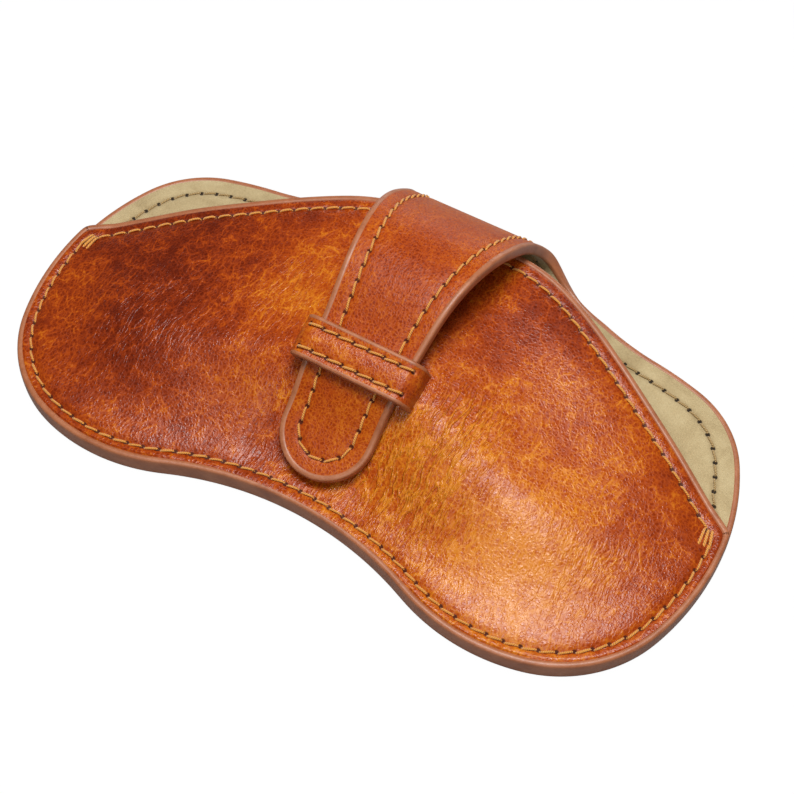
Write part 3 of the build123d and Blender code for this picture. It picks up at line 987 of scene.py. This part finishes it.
class Finish:
    # A material and short ways to add nodes to it.

    def __init__(self, name):
        self.material = bpy.data.materials.new(name)
        self.material.use_nodes = True
        self.tree = self.material.node_tree
        self.shader = self.tree.nodes["Principled BSDF"]

    def put(self, socket, value):
        if isinstance(value, bpy.types.NodeSocket):
            self.tree.links.new(value, socket)
        else:
            socket.default_value = value

    def add(self, kind, values, **settings):
        node = self.tree.nodes.new("ShaderNode" + kind)
        for name, value in settings.items():
            setattr(node, name, value)
        for name, value in values.items():
            self.put(node.inputs[name], value)
        return node

    def place(self):
        # Object coordinates in millimetres.
        found = self.add("TexCoord", {}).outputs["Object"]
        return self.vector("SCALE", {0: found, 3: 1 / MM})

    def vector(self, kind, values, output=0):
        return self.add("VectorMath", values, operation=kind).outputs[output]

    def sum(self, first, second, kind="ADD"):
        return self.add("Math", {0: first, 1: second}, operation=kind).outputs[0]

    def less(self, first, second):
        return self.sum(first, second, "SUBTRACT")

    def times(self, first, second):
        return self.sum(first, second, "MULTIPLY")

    def total(self, value, *parts):
        # The value and each part times its share.
        for part, share in parts:
            value = self.sum(value, self.times(part, share))
        return value

    def noise(self, vector, scale, detail=3.0, roughness=0.5, distortion=0.0):
        values = {"Vector": vector, "Scale": scale, "Detail": detail}
        values.update({"Roughness": roughness, "Distortion": distortion})
        return self.add("TexNoise", values).outputs["Fac"]

    def stretched(self, vector, scale, turn=0.0):
        values = {"Vector": vector, "Scale": scale, "Rotation": (0, 0, turn)}
        return self.add("Mapping", values).outputs["Vector"]

    def range(self, value, low, high, to_low=0.0, to_high=1.0):
        values = {"Value": value, 1: low, 2: high, 3: to_low, 4: to_high}
        return self.add("MapRange", values, interpolation_type="SMOOTHSTEP").outputs["Result"]

    def swirled(self, vector, scale, amount):
        # The place moved about by slow noise, so that patterns flow.
        values = {"Vector": vector, "Scale": scale, "Detail": 2.0}
        drift = self.add("TexNoise", values).outputs["Color"]
        centred = self.vector("SUBTRACT", {0: drift, 1: (0.5, 0.5, 0.5)})
        return self.vector("ADD", {0: vector, 1: self.vector("SCALE", {0: centred, 3: amount})})

    def lines(self, value, width):
        # 1 along the lines where a noise passes its middle, falling to 0 beside them.
        apart = self.sum(self.less(value, 0.5), 0.0, "ABSOLUTE")
        return self.range(apart, 0.0, width, 1.0, 0.0)

    def cracks(self, vector, scale, width):
        # 1 along the borders of cells, falling to 0 beside them.
        values = {"Vector": vector, "Scale": scale, "Randomness": 1.0}
        apart = self.add("TexVoronoi", values, feature="DISTANCE_TO_EDGE").outputs["Distance"]
        return self.range(apart, 0.0, width, 1.0, 0.0)

    def near(self, vector, centre, radius, squeeze):
        # 1 at a place seen from above, and 0 from a distance on.
        scaled = self.vector("MULTIPLY", {0: vector, 1: (*squeeze, 0)})
        middle = (centre[0] * squeeze[0], centre[1] * squeeze[1], 0)
        apart = self.vector("DISTANCE", {0: scaled, 1: middle}, "Value")
        return self.range(apart, 0.0, radius, 1.0, 0.0)

    def blend(self, factor, first, second, kind="MIX"):
        node = self.add("Mix", {}, data_type="RGBA", blend_type=kind)
        self.put(node.inputs["Factor"], factor)
        self.put(node.inputs[6], first)
        self.put(node.inputs[7], second)
        return node.outputs[2]

    def ramp(self, value, stops):
        node = self.add("ValToRGB", {"Fac": value})
        while len(node.color_ramp.elements) < len(stops):
            node.color_ramp.elements.new(0.5)
        for element, (position, colour) in zip(node.color_ramp.elements, stops):
            element.position = position
            element.color = (*colour, 1)
        return node.outputs["Color"]

    def bump(self, height):
        # Normals of a height in millimetres.
        values = {"Height": height, "Distance": MM, "Strength": 1.0}
        return self.add("Bump", values).outputs["Normal"]

    def done(self, colour, roughness, height, levels):
        # Sets the shader and hands over the material.
        levels.update({"Base Color": colour, "Roughness": roughness, "Normal": self.bump(height)})
        for name, level in levels.items():
            self.put(self.shader.inputs[name], level)
        return self.material

    def holes(self):
        # Masks of the needle holes and of the pressed groove, from the stitch map.
        found = self.add("UVMap", {}, uv_map="stitch_map").outputs["UV"]
        both = self.add("SeparateXYZ", {"Vector": found})
        shifted = self.sum(self.sum(both.outputs["X"], 0.5), 1.0, "FLOORED_MODULO")
        along = self.times(self.sum(self.less(shifted, 0.5), 0.0, "ABSOLUTE"), pitch)
        off = self.sum(both.outputs["Y"], 0.0, "ABSOLUTE")
        squares = self.sum(self.times(along, along), self.times(off, off))
        hole = self.range(self.sum(squares, 0.5, "POWER"), 0.42, 0.66, 1.0, 0.0)
        groove = self.range(off, 0.2, 1.3, 1.0, 0.0)
        return hole, groove


deep = (0.130, 0.012, 0.0015)
russet = (0.270, 0.030, 0.0026)
tan = (0.440, 0.064, 0.0034)
amber = (0.580, 0.130, 0.0055)
honey = (0.740, 0.235, 0.0130)


def leather_finish(
    name, tone, places, grain, creased, gloss, marbling=1.0, speckle=0.38, shine=0.4
):
    # Waxed pull-up leather: marbled colour, pale crackle, pebbled grain, pleats with a painted
    # highlight on their ridges, needle holes painted near black as shade, and given lighter and
    # darker places, on the front mostly painted sheen and painted shade.
    f = Finish(name)
    place = f.place()
    swirl = f.swirled(place, 0.10, 7.0)
    drift = f.swirled(place, 0.45, 1.8)
    clouds = f.noise(swirl, 0.060, 3.0, 0.5)
    patches = f.noise(drift, 0.24, 4.0, 0.6)
    flecks = f.noise(place, 1.5, 4.0, 0.7)
    long_way = f.stretched(swirl, (1.0, 0.55, 1.0), 0.2)
    coarse = f.cracks(f.swirled(long_way, 0.6, 1.0), 0.42, 0.11)
    fine = f.cracks(f.swirled(long_way, 1.1, 0.7), 0.85, 0.17)
    worn = f.range(patches, 0.36, 0.62)
    crackle = f.total(0.0, (coarse, worn), (fine, f.range(clouds, 0.35, 0.6, 0.25, 0.8)))
    pebble = f.less(1.0, f.cracks(f.swirled(place, 0.8, 0.9), grain, 0.32))
    value = f.total(
        tone,
        (f.less(clouds, 0.5), 0.50 * marbling),
        (f.less(patches, 0.5), 0.36 * marbling),
        (f.less(flecks, 0.5), speckle),
        (crackle, 0.24 * marbling),
        (f.less(pebble, 0.6), -0.42 * speckle),
    )
    # Lighter and darker places; on the front mostly painted sheen and painted shade
    for *spot, amount in places:
        value = f.total(value, (f.near(place, *spot), amount))
    fine_waves, slow_waves = f.noise(place, 3.4, 2.0, 0.5), f.noise(place, 0.6, 2.0, 0.5)
    height = f.total(0.0, (pebble, 0.03), (fine_waves, 0.02), (slow_waves, 0.09), (crackle, 0.02))
    for turn, *spot, amount in creased:
        long_folds = f.stretched(f.swirled(place, 0.18, 2.4), (1.0, 0.15, 0.3), turn)
        ridge = f.lines(f.noise(long_folds, 0.62, 3.0, 0.55), 0.085)
        ridge = f.times(ridge, f.near(place, *spot))
        height = f.total(height, (ridge, amount))
        # Pleat ridges lifted in colour: a painted highlight along them
        value = f.total(value, (ridge, amount * 1.2))
    colour = f.ramp(value, [(0.02, deep), (0.27, russet), (0.52, tan), (0.74, amber), (1.0, honey)])
    hole, groove = f.holes()
    colour = f.blend(f.times(groove, 0.12), colour, (*russet, 1))
    # Needle holes painted near black: painted shade for their depth
    colour = f.blend(hole, colour, (0.090, 0.013, 0.002, 1))
    rough = f.range(f.noise(place, 0.5, 4.0, 0.6), 0.3, 0.7, gloss - 0.05, gloss + 0.05)
    rough = f.total(rough, (f.less(1.0, pebble), 0.10))
    return f.done(colour, f.total(rough, (hole, 0.4)), height, {"Specular IOR Level": shine})


def edge_finish():
    f = Finish("painted_edge")
    place = f.place()
    cloud = f.noise(place, 0.25, 4.0, 0.6)
    fine = f.noise(place, 2.2, 3.0, 0.6)
    value = f.total(0.0, (cloud, 0.7), (fine, 0.3))
    stops = [(0.3, (0.33, 0.10, 0.038)), (0.5, (0.44, 0.15, 0.062)), (0.72, (0.53, 0.20, 0.092))]
    slow, quick = f.noise(place, 0.9, 3.0, 0.5), f.noise(place, 5.0, 2.0, 0.5)
    height = f.total(0.0, (slow, 0.05), (quick, 0.012))
    rough = f.range(fine, 0.3, 0.7, 0.34, 0.5)
    levels = {"Coat Weight": 0.15, "Coat Roughness": 0.35}
    return f.done(f.ramp(value, stops), rough, height, levels)


def thread_finish(name, ply_highlight, twist_shade):
    f = Finish(name)
    along = f.add("UVMap", {}, uv_map="thread_map").outputs["UV"]
    both = f.add("SeparateXYZ", {"Vector": along})
    turn = f.sum(f.times(both.outputs["X"], 1.15), both.outputs["Y"])
    ply = f.sum(f.times(turn, 2 * math.pi * 2), 0.0, "SINE")
    ply = f.range(ply, -1.0, 0.9)
    place = f.place()
    fibre = f.noise(place, 9.0, 2.0, 0.6)
    value = f.total(0.0, (ply, 0.7), (fibre, 0.4))
    # Ramp from painted shade in the twist grooves to painted highlight on the ply crests, varied by
    # fibre noise
    colour = f.ramp(value, [(0.1, twist_shade), (0.85, ply_highlight)])
    height = f.total(0.0, (ply, 0.12), (fibre, 0.04))
    return f.done(colour, 0.55, height, {"Sheen Weight": 0.3, "Sheen Roughness": 0.4})


def lining_finish():
    f = Finish("microsuede")
    place = f.place()
    cloud = f.noise(place, 0.12, 4.0, 0.6, 0.5)
    nap = f.noise(place, 2.8, 4.0, 0.7)
    value = f.total(0.0, (cloud, 0.6), (nap, 0.4))
    stops = [(0.3, (0.40, 0.29, 0.14)), (0.5, (0.56, 0.43, 0.225)), (0.7, (0.68, 0.55, 0.31))]
    colour = f.ramp(value, stops)
    hole, groove = f.holes()
    colour = f.blend(f.times(groove, 0.35), colour, (0.300, 0.200, 0.090, 1))
    # Needle holes painted near black: painted shade for their depth
    colour = f.blend(hole, colour, (0.030, 0.018, 0.008, 1))
    height = f.total(0.0, (nap, 0.16), (f.noise(place, 7.0, 2.0), 0.06))
    levels = {"Specular IOR Level": 0.15, "Sheen Weight": 0.35, "Sheen Roughness": 0.5}
    return f.done(colour, 0.92, height, levels)


# Lighter and darker places of a leather: centre, radius, squeeze of the axes, amount. On the front
# most of them are painted sheen and painted shade.
front_tone_sheen_and_shade = [
    # Darker at the left: painted shade over the leather's deeper tone
    ((-58, 10), 46, (1, 1.1), -0.24),
    ((-56, -18), 44, (1, 1), -0.25),
    # Golden patch left of the keeper: the leather's own colour
    ((-23, 2), 16, (1.1, 0.8), 0.26),
    # Lighter at the right and lower right: painted sheen
    ((38, -20), 46, (1, 1), 0.19),
    ((12, -26), 22, (1, 1), 0.12),
    ((52, -36), 32, (1, 1), 0.32),
    # Darker at the right end and along the mouth: painted shade
    ((68, -18), 16, (1, 1), -0.08),
    ((34, 24), 26, (1, 1.3), -0.16),
]
# Pleats: turn, centre, radius, squeeze of the axes, amount, which raises the ridges and also lifts
# their colour as a painted highlight
front_creases = [
    (0.15, (-4, -32), 26, (1, 1.2), 0.14),
    (0.15, (22, -28), 26, (1, 1.2), 0.24),
    (-0.6, (24, -12), 18, (1, 1), 0.20),
    (0.35, (-24, 0), 20, (1, 0.8), 0.10),
    (0.2, (-50, -18), 28, (1, 1), 0.08),
    (-0.5, (58, -24), 26, (1, 1), 0.08),
]
front_finish = leather_finish("pocket_leather", 0.35, front_tone_sheen_and_shade, 1.25, front_creases, 0.23)
strap_places = [
    ((0, 10), 22, (1, 0.6), -0.1),
    ((0, 40), 14, (0.3, 1), 0.12),
]
strap_creases = [(0.0, (0, 10), 60, (1, 1), 0.05)]
strap_finish = leather_finish(
    "strap_leather", 0.45, strap_places, 1.35, strap_creases, 0.32, 0.45, 0.55, 0.22
)
band_finish = leather_finish("keeper_leather_finish", 0.50, [], 1.4, [], 0.27, 0.9, 0.5, 0.35)
painted = edge_finish()
suede = lining_finish()
gold_thread = thread_finish("gold_thread", (0.95, 0.43, 0.075), (0.72, 0.25, 0.030))
pale_thread = thread_finish("pale_thread", (0.62, 0.42, 0.170), (0.32, 0.19, 0.060))

for objects, finish, slot_name in [
    ([front_leather], front_finish, "leather"),
    ([strap_leather, back_leather], strap_finish, "leather"),
    ([keeper_leather], band_finish, "leather"),
    ([back_lining, front_lining, strap_lining, keeper_backing], suede, "lining"),
    ([seam_edge, mouth_edge, right_rim_edge, left_rim_edge, strap_edge], painted, "edge_paint"),
    (keeper_edges, painted, "edge_paint"),
    ([seam_stitches, mouth_stitches, strap_stitches, bottom_stitches], gold_thread, "thread"),
    (keeper_stitch_rows + tacks, gold_thread, "thread"),
    ([right_rim_stitches, left_rim_stitches, strap_under_stitches], pale_thread, "thread"),
]:
    for obj in objects:
        obj.data.materials.append(finish)

# Camera at the photo's angle: distances in metres
camera_data = bpy.data.cameras.new("camera")
camera = bpy.data.objects.new("camera", camera_data)
bpy.context.scene.collection.objects.link(camera)
bpy.context.scene.camera = camera
camera_data.sensor_width = 36
camera_data.lens = 68.01
azimuth, elevation = math.radians(30), math.radians(56.66)
level = math.cos(elevation)
back = Vector((math.sin(azimuth) * level, -math.cos(azimuth) * level, math.sin(elevation)))
camera.rotation_mode = "QUATERNION"
camera.location = Vector((0.004169, -0.004699, 0)) + back * 0.3298
camera.rotation_quaternion = (-back).to_track_quat("-Z", "Y")

# Studio
world = bpy.data.worlds.new("studio")
bpy.context.scene.world = world
world.use_nodes = True
backdrop = world.node_tree.nodes["Background"].inputs
backdrop["Color"].default_value = (1, 1, 1, 1)
backdrop["Strength"].default_value = 0.07


def softbox(name, place, aim, width, height, power):
    data = bpy.data.lights.new(name, "AREA")
    data.shape = "RECTANGLE"
    data.size, data.size_y = width, height
    data.energy = power
    lamp = bpy.data.objects.new(name, data)
    bpy.context.scene.collection.objects.link(lamp)
    lamp.location = place
    lamp.rotation_euler = (Vector(aim) - Vector(place)).to_track_quat("-Z", "Y").to_euler()


softbox("overhead_left", (-0.03, -0.03, 0.62), (0, 0, 0), 0.26, 0.2, 1.25)
softbox("overhead_right", (0.05, 0.07, 0.60), (0, 0, 0), 0.26, 0.26, 2.2)
softbox("front", (0.10, -0.36, 0.46), (0, 0, 0), 0.2, 0.16, 0.6)
softbox("behind", (-0.15, 0.65, 0.12), (0, 0, 0.01), 0.5, 0.12, 0.7)

bpy.ops.object.select_all(action="DESELECT")
bpy.ops.mesh.primitive_plane_add(size=4, location=(0, 0, -0.0006))
floor = bpy.context.object
floor.name = "floor"
pale = Finish("pale_floor")
pale.shader.inputs["Base Color"].default_value = (0.35, 0.35, 0.35, 1)
pale.shader.inputs["Roughness"].default_value = 0.9
pale.shader.inputs["Specular IOR Level"].default_value = 0.0
glow = pale.add("Emission", {"Color": (1, 1, 1, 1), "Strength": 1.06})
ray = pale.add("LightPath", {})
seen = pale.times(ray.outputs["Is Camera Ray"], 0.93)
mixed = pale.add("MixShader", {})
pale.put(mixed.inputs[0], seen)
pale.put(mixed.inputs[1], pale.shader.outputs[0])
pale.put(mixed.inputs[2], glow.outputs[0])
pale.put(pale.tree.nodes["Material Output"].inputs["Surface"], mixed.outputs[0])
floor.data.materials.append(pale.material)

bpy.context.scene.view_settings.view_transform = "Standard"
